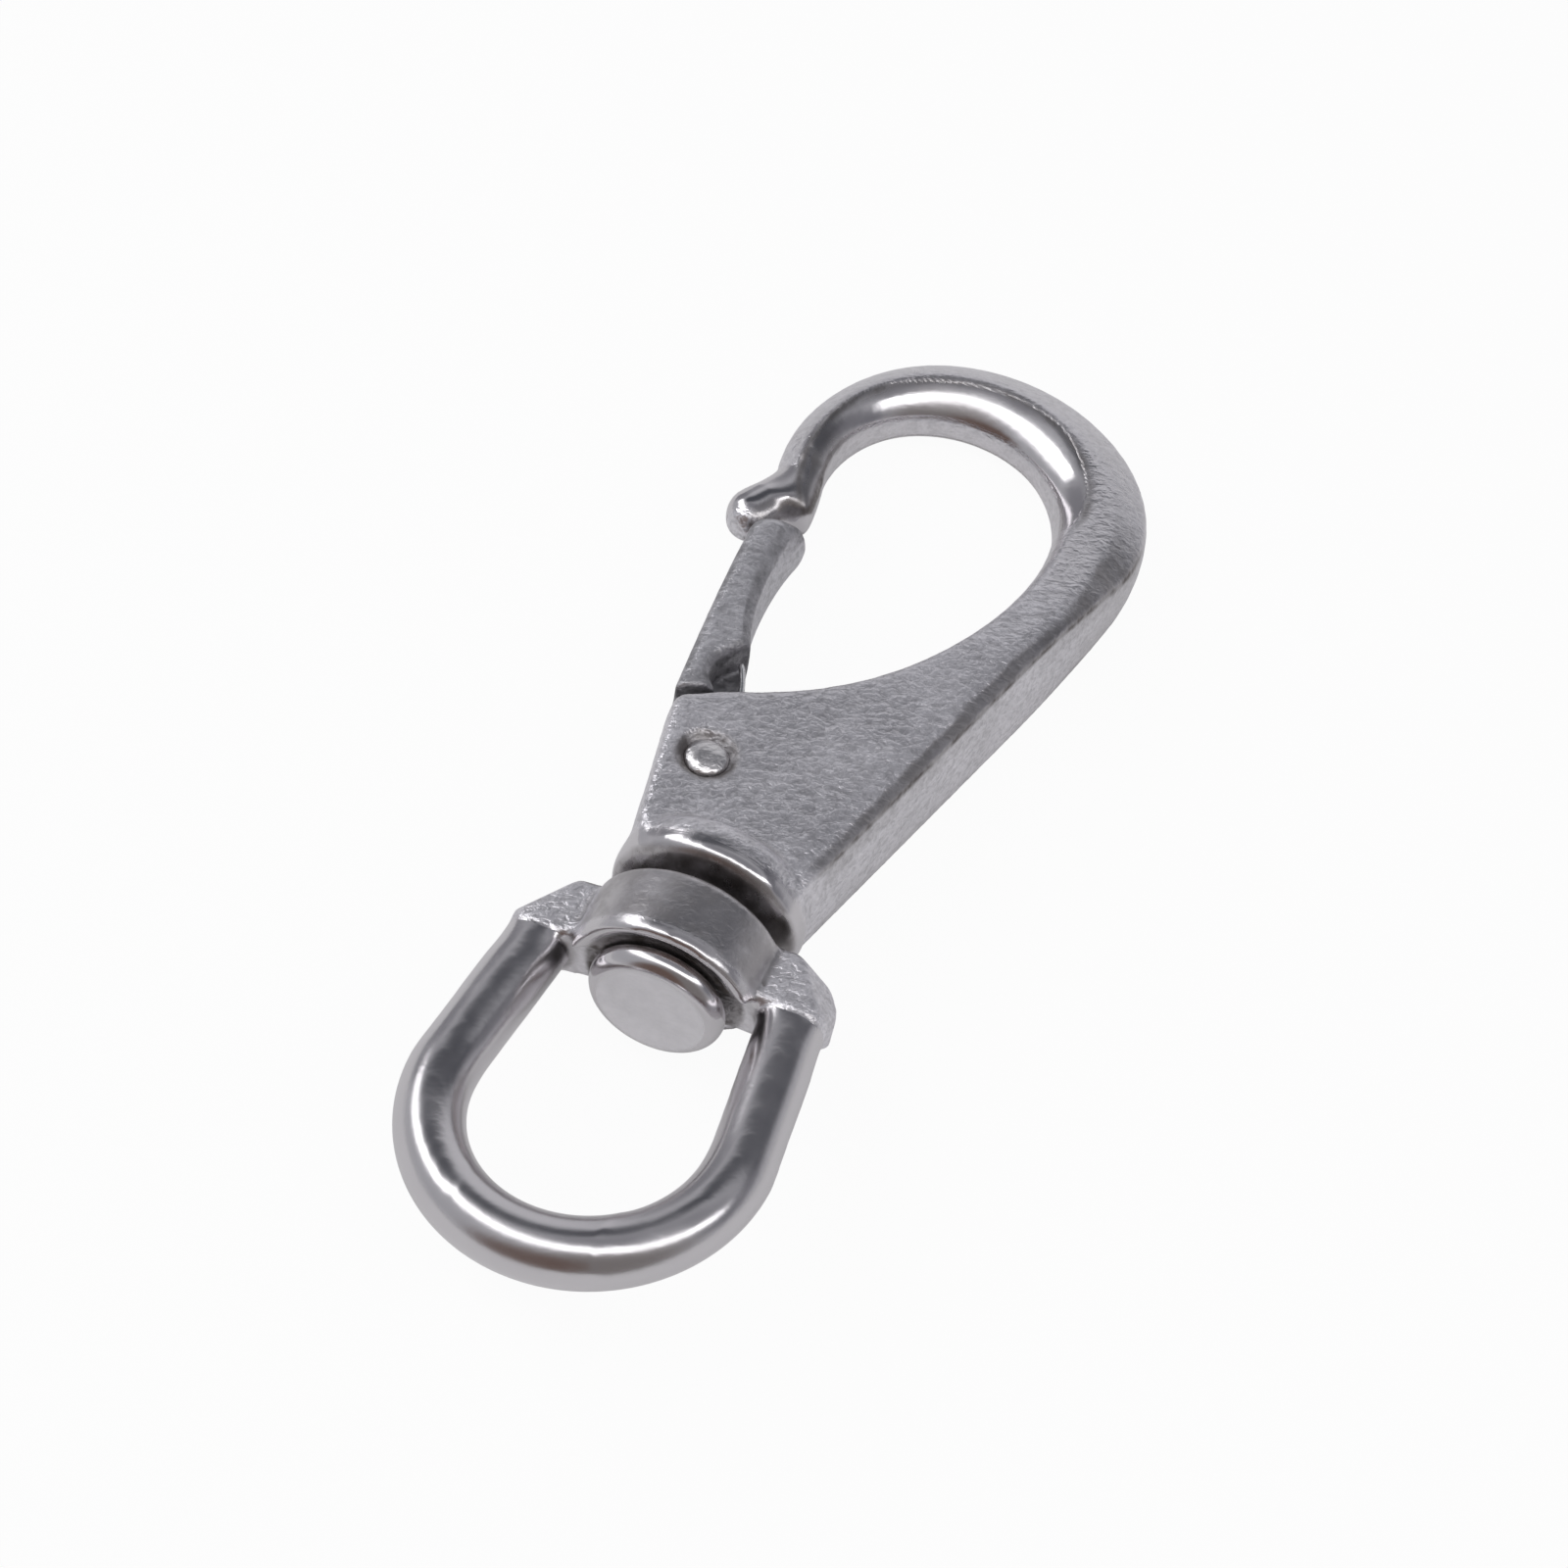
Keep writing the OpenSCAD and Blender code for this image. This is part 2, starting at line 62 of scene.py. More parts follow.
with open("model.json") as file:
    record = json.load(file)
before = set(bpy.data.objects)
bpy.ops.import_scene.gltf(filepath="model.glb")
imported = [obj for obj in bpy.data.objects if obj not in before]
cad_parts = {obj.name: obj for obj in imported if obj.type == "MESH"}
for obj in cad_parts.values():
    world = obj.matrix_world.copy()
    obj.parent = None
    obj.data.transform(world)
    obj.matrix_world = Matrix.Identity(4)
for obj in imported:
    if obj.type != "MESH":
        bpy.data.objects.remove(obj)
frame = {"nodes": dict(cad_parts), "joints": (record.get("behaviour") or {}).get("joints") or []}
cad_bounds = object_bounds()
joints = {j["name"]: j for j in frame["joints"]}


# ---- Places ----

def axis_place(origin, along):
    """Matrix whose X runs along an axis that lies in the XZ plane, with Y kept."""
    x = Vector(along).normalized()
    y = Vector((0, 1, 0))
    z = x.cross(y)
    turn = Matrix((x, y, z)).transposed().to_4x4()
    return Matrix.Translation(Vector(origin)) @ turn


SWIVEL_AXIS = Vector(joints["eye_swivel"]["axis"]).normalized()
GATE_AXIS = Vector(joints["gate_hinge"]["axis"]).normalized()
GATE_CENTRE = Vector(joints["gate_hinge"]["pos_m"])
EYE_REACH = 20.5 * MM
HOOK_PLACE = axis_place(SWIVEL_AXIS * EYE_REACH, SWIVEL_AXIS)


def hook_coordinates(co):
    """World points, in metres, as millimetres from the eye end of the hook, along its own axes."""
    inverse = np.array(HOOK_PLACE.inverted())
    return (co @ inverse[:3, :3].T + inverse[:3, 3]) / MM


def rise(x, start, end):
    """Smoothly from 0 at start to 1 at end."""
    t = np.clip((x - start) / (end - start), 0, 1)
    return t * t * (3 - 2 * t)


def fall(x, start, end):
    """Smoothly from 1 at start to 0 at end."""
    return 1 - rise(x, start, end)


def from_point(p, centre):
    """Distance of hook points from a centre in the hook's flat."""
    return np.hypot(p[:, 0] - centre[0], p[:, 1] - centre[1])


def from_swivel(p):
    """Distance of hook points from the swivel axis."""
    return np.hypot(p[:, 1], p[:, 2])


# ---- Meshes ----

SAME_POINT = 0.002 * MM
ON_RING = 1e-6


def link_new(name, mesh):
    obj = bpy.data.objects.new(name, mesh)
    bpy.context.scene.collection.objects.link(obj)
    return obj


def copy_node(name, node):
    """A new piece from a CAD node, its doubles merged."""
    mesh = frame["nodes"][node].data.copy()
    mesh.materials.clear()
    bm = bmesh.new()
    bm.from_mesh(mesh)
    bmesh.ops.remove_doubles(bm, verts=bm.verts, dist=SAME_POINT)
    for face in bm.faces:
        face.smooth = True
    bm.to_mesh(mesh)
    bm.free()
    return link_new(name, mesh)


def apply_modifiers(obj):
    graph = bpy.context.evaluated_depsgraph_get()
    mesh = bpy.data.meshes.new_from_object(obj.evaluated_get(graph))
    old = obj.data
    obj.modifiers.clear()
    obj.data = mesh
    bpy.data.meshes.remove(old)
    mesh.name = obj.name


def cast_skin(obj, cell, passes):
    """Closes a piece in one even skin and eases its edges and corners, as a casting's are."""
    skin = obj.modifiers.new("skin", "REMESH")
    skin.mode = "VOXEL"
    skin.voxel_size = cell
    skin.use_smooth_shade = True
    ease = obj.modifiers.new("ease", "SMOOTH")
    ease.factor = 0.5
    ease.iterations = passes
    apply_modifiers(obj)


def ease_region(obj, weights, passes):
    """Smooths a piece where its points weigh more than nothing."""
    group = obj.vertex_groups.new(name="eased")
    tenths = np.round(np.clip(weights, 0, 1) * 10).astype(int)
    for tenth in range(1, 11):
        group.add(np.nonzero(tenths == tenth)[0].tolist(), tenth / 10, "REPLACE")
    ease = obj.modifiers.new("ease", "SMOOTH")
    ease.vertex_group = "eased"
    ease.factor = 0.5
    ease.iterations = passes
    apply_modifiers(obj)
    obj.vertex_groups.clear()


def turned(name, profile, rounds, place, steps=96):
    """A turned piece: the profile of (along, radius) in mm is spun round X, and the rings
    named in rounds, as (along, radius, size), are rounded."""
    bm = bmesh.new()
    verts = [bm.verts.new((x * MM, 0, r * MM)) for x, r in profile]
    edges = [bm.edges.new(pair) for pair in zip(verts, verts[1:])]
    bmesh.ops.spin(bm, geom=verts + edges, cent=(0, 0, 0), axis=(1, 0, 0),
                   angle=2 * math.pi, steps=steps, use_merge=True)
    bmesh.ops.remove_doubles(bm, verts=bm.verts, dist=SAME_POINT / 2)
    bmesh.ops.recalc_face_normals(bm, faces=bm.faces)
    for x, r, size in rounds:
        ring = [e for e in bm.edges
                if all(abs(v.co.x - x * MM) < ON_RING
                       and abs(math.hypot(v.co.y, v.co.z) - r * MM) < ON_RING for v in e.verts)]
        bmesh.ops.bevel(bm, geom=ring, offset=size * MM, offset_type="OFFSET", segments=10,
                        profile=0.5, affect="EDGES", material=-1, clamp_overlap=True)
    for face in bm.faces:
        face.smooth = True
    bm.transform(place)
    mesh = bpy.data.meshes.new(name)
    bm.to_mesh(mesh)
    bm.free()
    return link_new(name, mesh)


def arrays(obj):
    """A piece's points and their normals, as arrays."""
    mesh = obj.data
    co = np.empty(len(mesh.vertices) * 3)
    mesh.vertices.foreach_get("co", co)
    normal = np.empty(len(mesh.vertices) * 3)
    mesh.vertices.foreach_get("normal", normal)
    return co.reshape(-1, 3), normal.reshape(-1, 3)


def hook_points(obj):
    """A piece's points in the hook's coordinates."""
    return hook_coordinates(arrays(obj)[0])


def set_points(obj, co):
    obj.data.vertices.foreach_set("co", co.ravel())
    obj.data.update()


def set_mask(obj, name, values):
    mask = obj.data.attributes.new(name, "FLOAT", "POINT")
    mask.data.foreach_set("value", np.clip(values, 0, 1).astype(np.float32))


# How bent a place is before it counts as an edge or a hollow, and how fast each mask grows.
EDGE_FROM, EDGE_GAIN = 0.03, 8
HOLLOW_FROM, HOLLOW_GAIN = 0.02, 10
BEND_SPREAD = 3


def mark_edges(obj, scale=1.0):
    """Masks of how far the surface bulges (edge, times scale) and folds in (hollow) at each point."""
    co, normal = arrays(obj)
    pairs = np.empty(len(obj.data.edges) * 2, dtype=np.int64)
    obj.data.edges.foreach_get("vertices", pairs)
    pairs = pairs.reshape(-1, 2)
    count = np.bincount(pairs.ravel(), minlength=len(co)).astype(float)
    step = co[pairs[:, 1]] - co[pairs[:, 0]]
    length = np.maximum(np.linalg.norm(step, axis=1), 1e-9)
    bend = np.zeros(len(co))
    np.add.at(bend, pairs[:, 0], -(step * normal[pairs[:, 0]]).sum(1) / length)
    np.add.at(bend, pairs[:, 1], (step * normal[pairs[:, 1]]).sum(1) / length)
    bend /= np.maximum(count, 1)
    for _ in range(BEND_SPREAD):
        total = np.zeros(len(co))
        np.add.at(total, pairs[:, 0], bend[pairs[:, 1]])
        np.add.at(total, pairs[:, 1], bend[pairs[:, 0]])
        bend = 0.5 * bend + 0.5 * total / np.maximum(count, 1)
    set_mask(obj, "edge", (bend - EDGE_FROM) * EDGE_GAIN * scale)
    # The hollow mask is used as painted shade, darkening the folds.
    set_mask(obj, "hollow", (-bend - HOLLOW_FROM) * HOLLOW_GAIN)


# ---- Shader nodes ----

# Noise scales of the steel skin, and the lie of its wrinkles.
CLOUD_SCALE, MOTTLE_SCALE, RIPPLE_SCALE, GRAIN_SCALE = 170.0, 420.0, 1600.0, 3200.0
WRINKLE_TURN, WRINKLE_STRETCH = math.radians(-67), 1.7
GRAIN_HEIGHT = 0.22
POLISHED_HEIGHT = 0.03
BUMP_DEPTH = 0.2 * MM


def add(tree, kind, inputs=None, **settings):
    """Adds a shader node; each input is a value or the socket that feeds it."""
    made = tree.nodes.new(kind)
    for key, value in settings.items():
        setattr(made, key, value)
    for key, value in (inputs or {}).items():
        if isinstance(value, bpy.types.NodeSocket):
            tree.links.new(value, made.inputs[key])
        else:
            made.inputs[key].default_value = value
    return made


def maths(tree, operation, a, b=0.0, clamp=False):
    return add(tree, "ShaderNodeMath", {0: a, 1: b}, operation=operation, use_clamp=clamp).outputs[0]


def remap(tree, value, low, high, to_low=0.0, to_high=1.0):
    return add(tree, "ShaderNodeMapRange", {"Value": value, "From Min": low, "From Max": high,
                                            "To Min": to_low, "To Max": to_high},
               interpolation_type="SMOOTHSTEP").outputs[0]


def blend_colour(tree, amount, a, b):
    return add(tree, "ShaderNodeMix", {0: amount, 6: a, 7: b}, data_type="RGBA").outputs[2]


def blend_value(tree, amount, a, b):
    return add(tree, "ShaderNodeMix", {0: amount, 2: a, 3: b}, data_type="FLOAT").outputs[0]


def noise(tree, where, scale, detail=3.0, rough=0.55, distortion=0.0):
    return add(tree, "ShaderNodeTexNoise", {"Vector": where, "Scale": scale, "Detail": detail,
                                            "Roughness": rough, "Distortion": distortion}).outputs[0]


def new_group(name, inputs, outputs):
    tree = bpy.data.node_groups.new(name, "ShaderNodeTree")
    for label, kind, default in inputs:
        socket = tree.interface.new_socket(label, in_out="INPUT", socket_type=kind)
        if default is not None:
            socket.default_value = default
    for label, kind in outputs:
        tree.interface.new_socket(label, in_out="OUTPUT", socket_type=kind)
    return tree, tree.nodes.new("NodeGroupInput"), tree.nodes.new("NodeGroupOutput")


def steel_group():
    """Steel skin: a rippled, grainy matt state and a polished one, painted shade darkening the folds
    and the masked gaps and bands, and bright rubbed edges."""
    if "steel skin" in bpy.data.node_groups:
        return bpy.data.node_groups["steel skin"]
    tree, given, out = new_group(
        "steel skin",
        [("Matt Colour", "NodeSocketColor", (0.5, 0.5, 0.5, 1)),
         ("Bright Colour", "NodeSocketColor", (0.7, 0.7, 0.7, 1)),
         ("Painted_Shade Colour", "NodeSocketColor", (0.05, 0.05, 0.05, 1)),
         ("Matt Roughness", "NodeSocketFloat", 0.4),
         ("Bright Roughness", "NodeSocketFloat", 0.15),
         ("Ripple", "NodeSocketFloat", 1.0),
         ("Grain", "NodeSocketFloat", 1.0),
         ("Polish", "NodeSocketFloat", 0.0),
         ("Edge", "NodeSocketFloat", 0.0),
         ("Hollow", "NodeSocketFloat", 0.0),
         ("Painted_Shade", "NodeSocketFloat", 0.0)],
        [("Color", "NodeSocketColor"), ("Roughness", "NodeSocketFloat"), ("Height", "NodeSocketFloat")])
    g = given.outputs
    where = add(tree, "ShaderNodeTexCoord").outputs["Object"]
    wrinkled = add(tree, "ShaderNodeMapping", {"Vector": where, "Rotation": (0, 0, WRINKLE_TURN),
                                               "Scale": (WRINKLE_STRETCH, 1, 1)},
                   vector_type="TEXTURE").outputs[0]
    cloud = noise(tree, where, CLOUD_SCALE, 3.0)
    mottle = remap(tree, noise(tree, where, MOTTLE_SCALE, 3.0, 0.6), 0.40, 0.60, 0.55, 1.0)
    ripple = noise(tree, wrinkled, RIPPLE_SCALE, 2.0, 0.55, 0.5)
    grain = noise(tree, where, GRAIN_SCALE, 2.0, 0.6)

    # How far each place is polished or rubbed bright, and how far it stays matt.
    bright = maths(tree, "MAXIMUM", g["Polish"], maths(tree, "MULTIPLY", g["Edge"], 0.75))
    matt = maths(tree, "SUBTRACT", 1.0, bright, clamp=True)

    # Colour: the matt steel is clouded and specked, and painted shade darkens both.
    tone = blend_colour(tree, bright, g["Matt Colour"], g["Bright Colour"])
    shade = remap(tree, cloud, 0.35, 0.65, 0.94, 1.04)
    speck = maths(tree, "MULTIPLY", remap(tree, grain, 0.25, 0.75, 0.90, 1.08),
                  remap(tree, ripple, 0.32, 0.58, 0.84, 1.06))
    speck = blend_value(tree, g["Grain"], 1.0, speck)
    shade = blend_value(tree, matt, 1.0, maths(tree, "MULTIPLY", shade, speck))
    tone = add(tree, "ShaderNodeVectorMath", {0: tone, "Scale": shade}, operation="SCALE").outputs[0]
    # Painted shade: the folds through the hollow mask, and the piece's painted_shade mask, mottled.
    painted_shade = maths(tree, "MULTIPLY", g["Hollow"], remap(tree, ripple, 0.3, 0.6, 0.6, 1.0))
    painted_shade = maths(tree, "MAXIMUM", painted_shade, maths(tree, "MULTIPLY", g["Painted_Shade"], mottle))
    tone = blend_colour(tree, painted_shade, tone, g["Painted_Shade Colour"])
    tree.links.new(tone, out.inputs["Color"])

    # Roughness: clouds make it uneven, and the painted shade dulls it.
    rough = blend_value(tree, bright, g["Matt Roughness"], g["Bright Roughness"])
    rough = maths(tree, "ADD", rough, remap(tree, cloud, 0.3, 0.7, -0.03, 0.05))
    rough = maths(tree, "ADD", rough, maths(tree, "MULTIPLY", painted_shade, 0.3), clamp=True)
    tree.links.new(rough, out.inputs["Roughness"])

    # Height: ripples and grain, nearly flat where it is polished.
    high = maths(tree, "MULTIPLY", ripple, g["Ripple"])
    fine = maths(tree, "MULTIPLY", grain, maths(tree, "MULTIPLY", g["Grain"], GRAIN_HEIGHT))
    high = maths(tree, "ADD", high, fine)
    kept = maths(tree, "ADD", maths(tree, "MULTIPLY", matt, 1 - POLISHED_HEIGHT), POLISHED_HEIGHT)
    high = maths(tree, "MULTIPLY", high, kept)
    tree.links.new(high, out.inputs["Height"])
    return tree


def steel(name, matt, bright, painted_shade, matt_rough, bright_rough, ripple, grain, polish=None):
    """A steel finish from the shared skin; polish is a plain value, or the piece's own mask if
    it isn't given."""
    material = bpy.data.materials.new(name)
    material.use_nodes = True
    tree = material.node_tree
    shader = tree.nodes["Principled BSDF"]
    # Masks the piece carries: polish, rubbed edges, and the hollow and painted_shade masks of painted
    # shade.
    masks = {label: add(tree, "ShaderNodeAttribute", attribute_name=label.lower()).outputs["Fac"]
             for label in ("Polish", "Edge", "Hollow", "Painted_Shade")}
    if polish is not None:
        masks["Polish"] = polish
    skin = add(tree, "ShaderNodeGroup", node_tree=steel_group())
    values = {"Matt Colour": (*matt, 1), "Bright Colour": (*bright, 1), "Painted_Shade Colour": (*painted_shade, 1),
              "Matt Roughness": matt_rough, "Bright Roughness": bright_rough,
              "Ripple": ripple, "Grain": grain}
    for label, value in values.items():
        skin.inputs[label].default_value = value
    for label, source in masks.items():
        if isinstance(source, bpy.types.NodeSocket):
            tree.links.new(source, skin.inputs[label])
        else:
            skin.inputs[label].default_value = source
    bump = add(tree, "ShaderNodeBump", {"Height": skin.outputs["Height"], "Strength": 1.0,
                                        "Distance": BUMP_DEPTH})
    shader.inputs["Metallic"].default_value = 1.0
    tree.links.new(skin.outputs["Color"], shader.inputs["Base Color"])
    tree.links.new(skin.outputs["Roughness"], shader.inputs["Roughness"])
    tree.links.new(bump.outputs["Normal"], shader.inputs["Normal"])
    return material


def dress(obj, material, body, node):
    obj.data.materials.clear()
    obj.data.materials.append(material)
    if body:
        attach(obj, body)
    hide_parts(node)


# ---- Settings ----

class CastingSettings(bpy.types.PropertyGroup):
    skin_cell: FloatProperty(name="Skin cell", description="Cell of the even skin over the large castings",
                             default=0.25 * MM, min=0.2 * MM, unit="LENGTH")
    skin_passes: IntProperty(name="Easing", description="Passes that ease the castings' edges",
                             default=10, min=0)
    matt_colour: FloatVectorProperty(name="Matt steel", description="Colour of the tumbled steel",
                                     default=(0.80, 0.785, 0.82), subtype="COLOR", min=0, max=1)
    bright_colour: FloatVectorProperty(name="Polished steel", description="Colour of the polished steel",
                                       default=(0.68, 0.66, 0.68), subtype="COLOR", min=0, max=1)
    # The colour of the painted shade in folds, gaps and dark bands.
    painted_shade_colour: FloatVectorProperty(name="Painted_Shade", description="Colour of the shade painted into folds, gaps and dark bands",
                                     default=(0.085, 0.07, 0.06), subtype="COLOR", min=0, max=1)


# Colours that one piece alone has.
EYE_MATT, BUTTON_MATT, GATE_MATT = (0.79, 0.775, 0.81), (0.85, 0.835, 0.86), (0.68, 0.67, 0.70)
# The gate's painted shade colour.
GATE_PAINTED_SHADE = (0.07, 0.07, 0.075)
RIVET_BRIGHT, SPRING_BRIGHT = (0.82, 0.80, 0.79), (0.8, 0.8, 0.81)


class PinSettings(bpy.types.PropertyGroup):
    head_diameter: FloatProperty(name="Button", description="Diameter of the swivel pin's head",
                                 default=12.2 * MM, unit="LENGTH")
    head_round: FloatProperty(name="Button edge", description="Rounding of the head's front edge",
                              default=1.6 * MM, unit="LENGTH")


class StageSettings(bpy.types.PropertyGroup):
    lens: FloatProperty(name="Lens", description="Focal length in mm", default=98.10)
    light_level: FloatProperty(name="Top light", description="Radiance of the bent top light", default=1.9)


# ---- Pieces ----
# Pairs of numbers are the start and end of a rise or fall. They are in mm along the hook's own
# axes: X from the eye end to the bow, Y towards the gate, Z square to the flat. Where the text
# says so they are in degrees, or in the share of the normal that lies along the gate's axis (up).

BOW_CENTRE = (53.6, -1.4)
KNOB_CENTRE = (45.3, 13.7)
RIVET_CENTRE = (13.8, 5.2)
COLLAR_CORNER = (3.8, 6.8, 5.9)

# The nose, and the reach of its easing round the knob.
NOSE_START, NOSE_END, NOSE_SIDE = (43.0, 44.5), (49.5, 52), (7, 9)
KNOB_REACH = (1.8, 3.2)
NOSE_PASSES = 190

# The collar's rim and the corners where the cheeks meet it.
RIM_RADIUS, RIM_END = (6.5, 7.2), (4.8, 5.6)
CORNER_REACH = (0.8, 2.0)
COLLAR_PASSES = 60

# The polished bow's border and its fold: angles round the bow's centre, in degrees, and radii.
BORDER_ANGLES, BORDER_RADII = (-88, -62, -28, 21, 140), (11.6, 13.2, 14.4, 13.5, 13.3)
FOLD_ANGLES = (-88, -60, -40, 0, 15, 45, 75, 105)
FOLD_RADII = (12.4, 13.6, 14.1, 14.1, 13.7, 13.2, 13.0, 13.1)
BORDER_WIDTH, FOLD_WIDTH = 0.25, 0.4


def nose_region(p):
    return (rise(p[:, 0], *NOSE_START) * fall(p[:, 0], *NOSE_END)
            * rise(p[:, 1], *NOSE_SIDE))


def ease_hook(obj):
    """Fillets the hook where the casting's nose, collar and corners run into each other."""
    p = hook_points(obj)
    ease_region(obj, nose_region(p) * rise(from_point(p, KNOB_CENTRE), *KNOB_REACH), NOSE_PASSES)
    p = hook_points(obj)
    ease_region(obj, rise(from_swivel(p), *RIM_RADIUS) * fall(p[:, 0], *RIM_END), COLLAR_PASSES)
    corner = np.linalg.norm(np.abs(p) - COLLAR_CORNER, axis=1)
    ease_region(obj, fall(corner, *CORNER_REACH), COLLAR_PASSES)


def mark_hook(obj):
    """Masks of the hook's rubbed edges, its polish and its painted shade."""
    p = hook_points(obj)
    from_rivet = from_point(p, RIVET_CENTRE)
    mark_edges(obj, scale=rise(from_rivet, 3.2, 4.0))
    _, normal = arrays(obj)
    up = np.abs(normal @ np.array(GATE_AXIS))
    from_bow = from_point(p, BOW_CENTRE)
    angle = np.degrees(np.arctan2(p[:, 1] - BOW_CENTRE[1], p[:, 0] - BOW_CENTRE[0]))

    border = np.interp(angle, BORDER_ANGLES, BORDER_RADII)
    dome = fall(from_bow, border, border + BORDER_WIDTH) * rise(angle, -92, -80)
    dome *= rise(up, 0.15, 0.4)
    collar = fall(p[:, 0], 3.6, 4.8)
    knob = rise(nose_region(p), 0.1, 0.9)
    bevel = rise(up, 0.1, 0.28) * fall(up, 0.942, 0.966)
    bevel *= rise(p[:, 0], 6, 9) * fall(p[:, 0], 52, 60) * rise(-normal[:, 1], 0.1, 0.2)
    flank = 0.45 * rise(p[:, 0], 42, 50)
    set_mask(obj, "polish", np.maximum.reduce([dome, collar, knob, 0.7 * bevel, flank]))

    # Painted dark reflection: the bevel band along the back edge, darkest where it rolls over.
    rolled = bevel * fall(up, 0.5, 0.85)
    # Painted shade round the rivet's foot, under its dome.
    ring = rise(np.abs(p[:, 2]), 4.5, 5) * fall(from_rivet, 2.3, 3.2)
    # Painted shade in the gap between the collar and the hub.
    gap = fall(p[:, 0], 2.25, 2.9)
    # Painted dark reflection: a thin dark line along the fold of the bow's crest.
    fold = np.interp(angle, FOLD_ANGLES, FOLD_RADII)
    crease = rise(up, 0.5, 0.8) * np.exp(-((from_bow - fold) / FOLD_WIDTH) ** 2)
    crease *= rise(angle, -92, -70)
    set_mask(obj, "painted_shade", np.maximum.reduce([0.8 * ring, 0.6 * gap, 0.68 * crease, 0.5 * bevel,
                                             0.85 * rolled]))


class SNAPHOOK_OT_hook_body(bpy.types.Operator):
    """Casts the hook body: matt cheeks and a polished bow"""
    bl_idname = "snaphook.hook_body"
    bl_label = "Hook body"

    def execute(self, context):
        s = context.scene.snaphook_casting
        obj = copy_node("hook_casting", "hook_body")
        cast_skin(obj, s.skin_cell, s.skin_passes)
        ease_hook(obj)
        mark_hook(obj)
        finish = steel("cast steel", s.matt_colour, s.bright_colour, s.painted_shade_colour,
                       matt_rough=0.40, bright_rough=0.17, ripple=0.95, grain=1.0)
        dress(obj, finish, "hook", "hook_body")
        return {"FINISHED"}


# The eye's turn about the swivel, the radii of its bow's arc and of its bar, and where the bow ends,
# from the arc's centre.
EYE_TURN = math.radians(-6.6)
EYE_BEND, EYE_BAR_RADIUS = 13.0, 2.99
BOW_END = (-0.5, 1.3)

# The stretches that are eased: shoulders, their ends at the legs, the bow and the hub's rim.
SHOULDER_SIDE, SHOULDER_START = (8.8, 10.2), (-12, -8)
SHOULDER_END_SIDE, SHOULDER_END_START = (9.6, 11), (-9.5, -7.5)
EASED_BOW_END = (-15, -12)
HUB_RIM_RADIUS, HUB_RIM_END, HUB_RIM_TOP = (6.6, 7.2), (-5.4, -4.2), (1, 2.5)
SHOULDER_PASSES, SHOULDER_END_PASSES, BOW_PASSES, HUB_RIM_PASSES = 14, 90, 35, 110


def true_bow(obj):
    """Puts the points of the eye's bow on one true round bar, bent to one true arc."""
    turn = np.array(Matrix.Rotation(EYE_TURN, 3, "X"))
    place = np.array(HOOK_PLACE)
    centre = (EYE_REACH / MM, 0, 0)
    p = hook_points(obj) @ turn + centre
    middle = p * (1, 1, 0)
    middle *= EYE_BEND / np.linalg.norm(middle, axis=1)[:, None]
    spoke = p - middle
    length = np.maximum(np.linalg.norm(spoke, axis=1), 0.01)
    on_bar = middle + spoke * (EYE_BAR_RADIUS / length)[:, None]
    part = fall(p[:, 0], *BOW_END)
    p = (p + (on_bar - p) * part[:, None] - centre) @ turn.T
    set_points(obj, (p * MM) @ place[:3, :3].T + place[:3, 3])


def ease_eye(obj):
    """Fillets the eye's shoulders and its hub's rim, and trues its bow."""
    p = hook_points(obj)
    aside = np.abs(p[:, 1])
    ease_region(obj, rise(aside, *SHOULDER_SIDE) * rise(p[:, 0], *SHOULDER_START), SHOULDER_PASSES)
    ends = rise(aside, *SHOULDER_END_SIDE) * rise(p[:, 0], *SHOULDER_END_START)
    ease_region(obj, ends * fall(p[:, 0], *HUB_RIM_END), SHOULDER_END_PASSES)
    p = hook_points(obj)
    ease_region(obj, fall(p[:, 0], *EASED_BOW_END), BOW_PASSES)
    true_bow(obj)
    p = hook_points(obj)
    rim = (rise(from_swivel(p), *HUB_RIM_RADIUS) * fall(p[:, 0], *HUB_RIM_END)
           * rise(p[:, 2], *HUB_RIM_TOP))
    ease_region(obj, rim, HUB_RIM_PASSES)


def mark_eye(obj):
    """Masks of the eye's rubbed edges, its polish and its painted shade."""
    mark_edges(obj)
    p = hook_points(obj)
    from_axis = from_swivel(p)
    bar = fall(p[:, 0], -6.0, -5.3)
    lip = rise(from_axis, 6.5, 7) * bar
    barrel = 0.85 * rise(from_axis, 8.0, 8.4) * fall(np.abs(p[:, 1]), 7.6, 8.4)
    set_mask(obj, "polish", np.maximum(bar, barrel))
    # Painted shade on the hub's back face, in the gap at the collar.
    back = rise(p[:, 0], -0.35, -0.1)
    # Painted shade in the recess round the button.
    bore = fall(from_axis, 6.8, 7.4) * rise(p[:, 0], -7.6, -7.0)
    # The barrel's share is a painted dark reflection, mottled by the skin.
    set_mask(obj, "painted_shade", np.maximum.reduce([back, 0.9 * bore, 0.45 * barrel * (1 - lip)]))


class SNAPHOOK_OT_swivel_eye(bpy.types.Operator):
    """Casts the swivel eye: polished bar, matt shoulders and hub"""
    bl_idname = "snaphook.swivel_eye"
    bl_label = "Swivel eye"

    def execute(self, context):
        s = context.scene.snaphook_casting
        obj = copy_node("eye_casting", "swivel_eye")
        cast_skin(obj, s.skin_cell, s.skin_passes)
        ease_eye(obj)
        mark_eye(obj)
        finish = steel("eye steel", EYE_MATT, s.bright_colour, s.painted_shade_colour,
                       matt_rough=0.44, bright_rough=0.22, ripple=1.5, grain=1.0)
        dress(obj, finish, "eye", "swivel_eye")
        return {"FINISHED"}


# The swivel pin: shank, the button's two faces and the rounding of its back edge.
SHANK_END, SHANK_RADIUS = 6.5, 3.5
BUTTON_BACK, BUTTON_FACE = -6.65, -8.6
BUTTON_BACK_ROUND = 0.25


